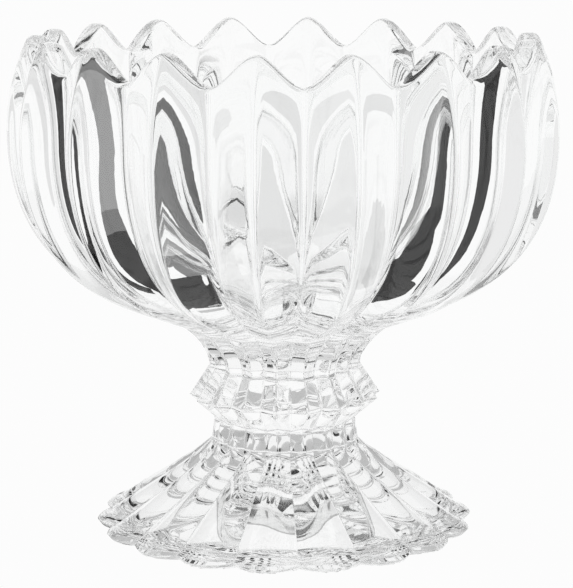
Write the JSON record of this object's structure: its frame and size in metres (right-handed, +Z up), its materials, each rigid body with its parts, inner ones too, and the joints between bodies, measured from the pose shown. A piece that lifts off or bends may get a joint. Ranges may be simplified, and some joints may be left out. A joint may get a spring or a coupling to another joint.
{
  "type": "dessert bowl",
  "caption": "Footed dessert bowl of clear pressed glass: a pleated cup with a scalloped rim on a faceted knop stem and a flared, lobed foot.",
  "frame": {"origin": "centre of the ring that the foot rests on, at table height", "axes": "+Z up along the bowl's axis; -Y through a groove between two petals, +X through a ridge"},
  "size_m": [0.1158, 0.114, 0.1043],
  "materials": {
    "clear_glass": "fire-polished colourless pressed glass"
  },
  "bodies": {
    "root": {"foot": "clear_glass", "lower_collar": "clear_glass", "knop": "clear_glass", "upper_collar": "clear_glass", "bowl": "clear_glass"}
  },
  "joints": []
}
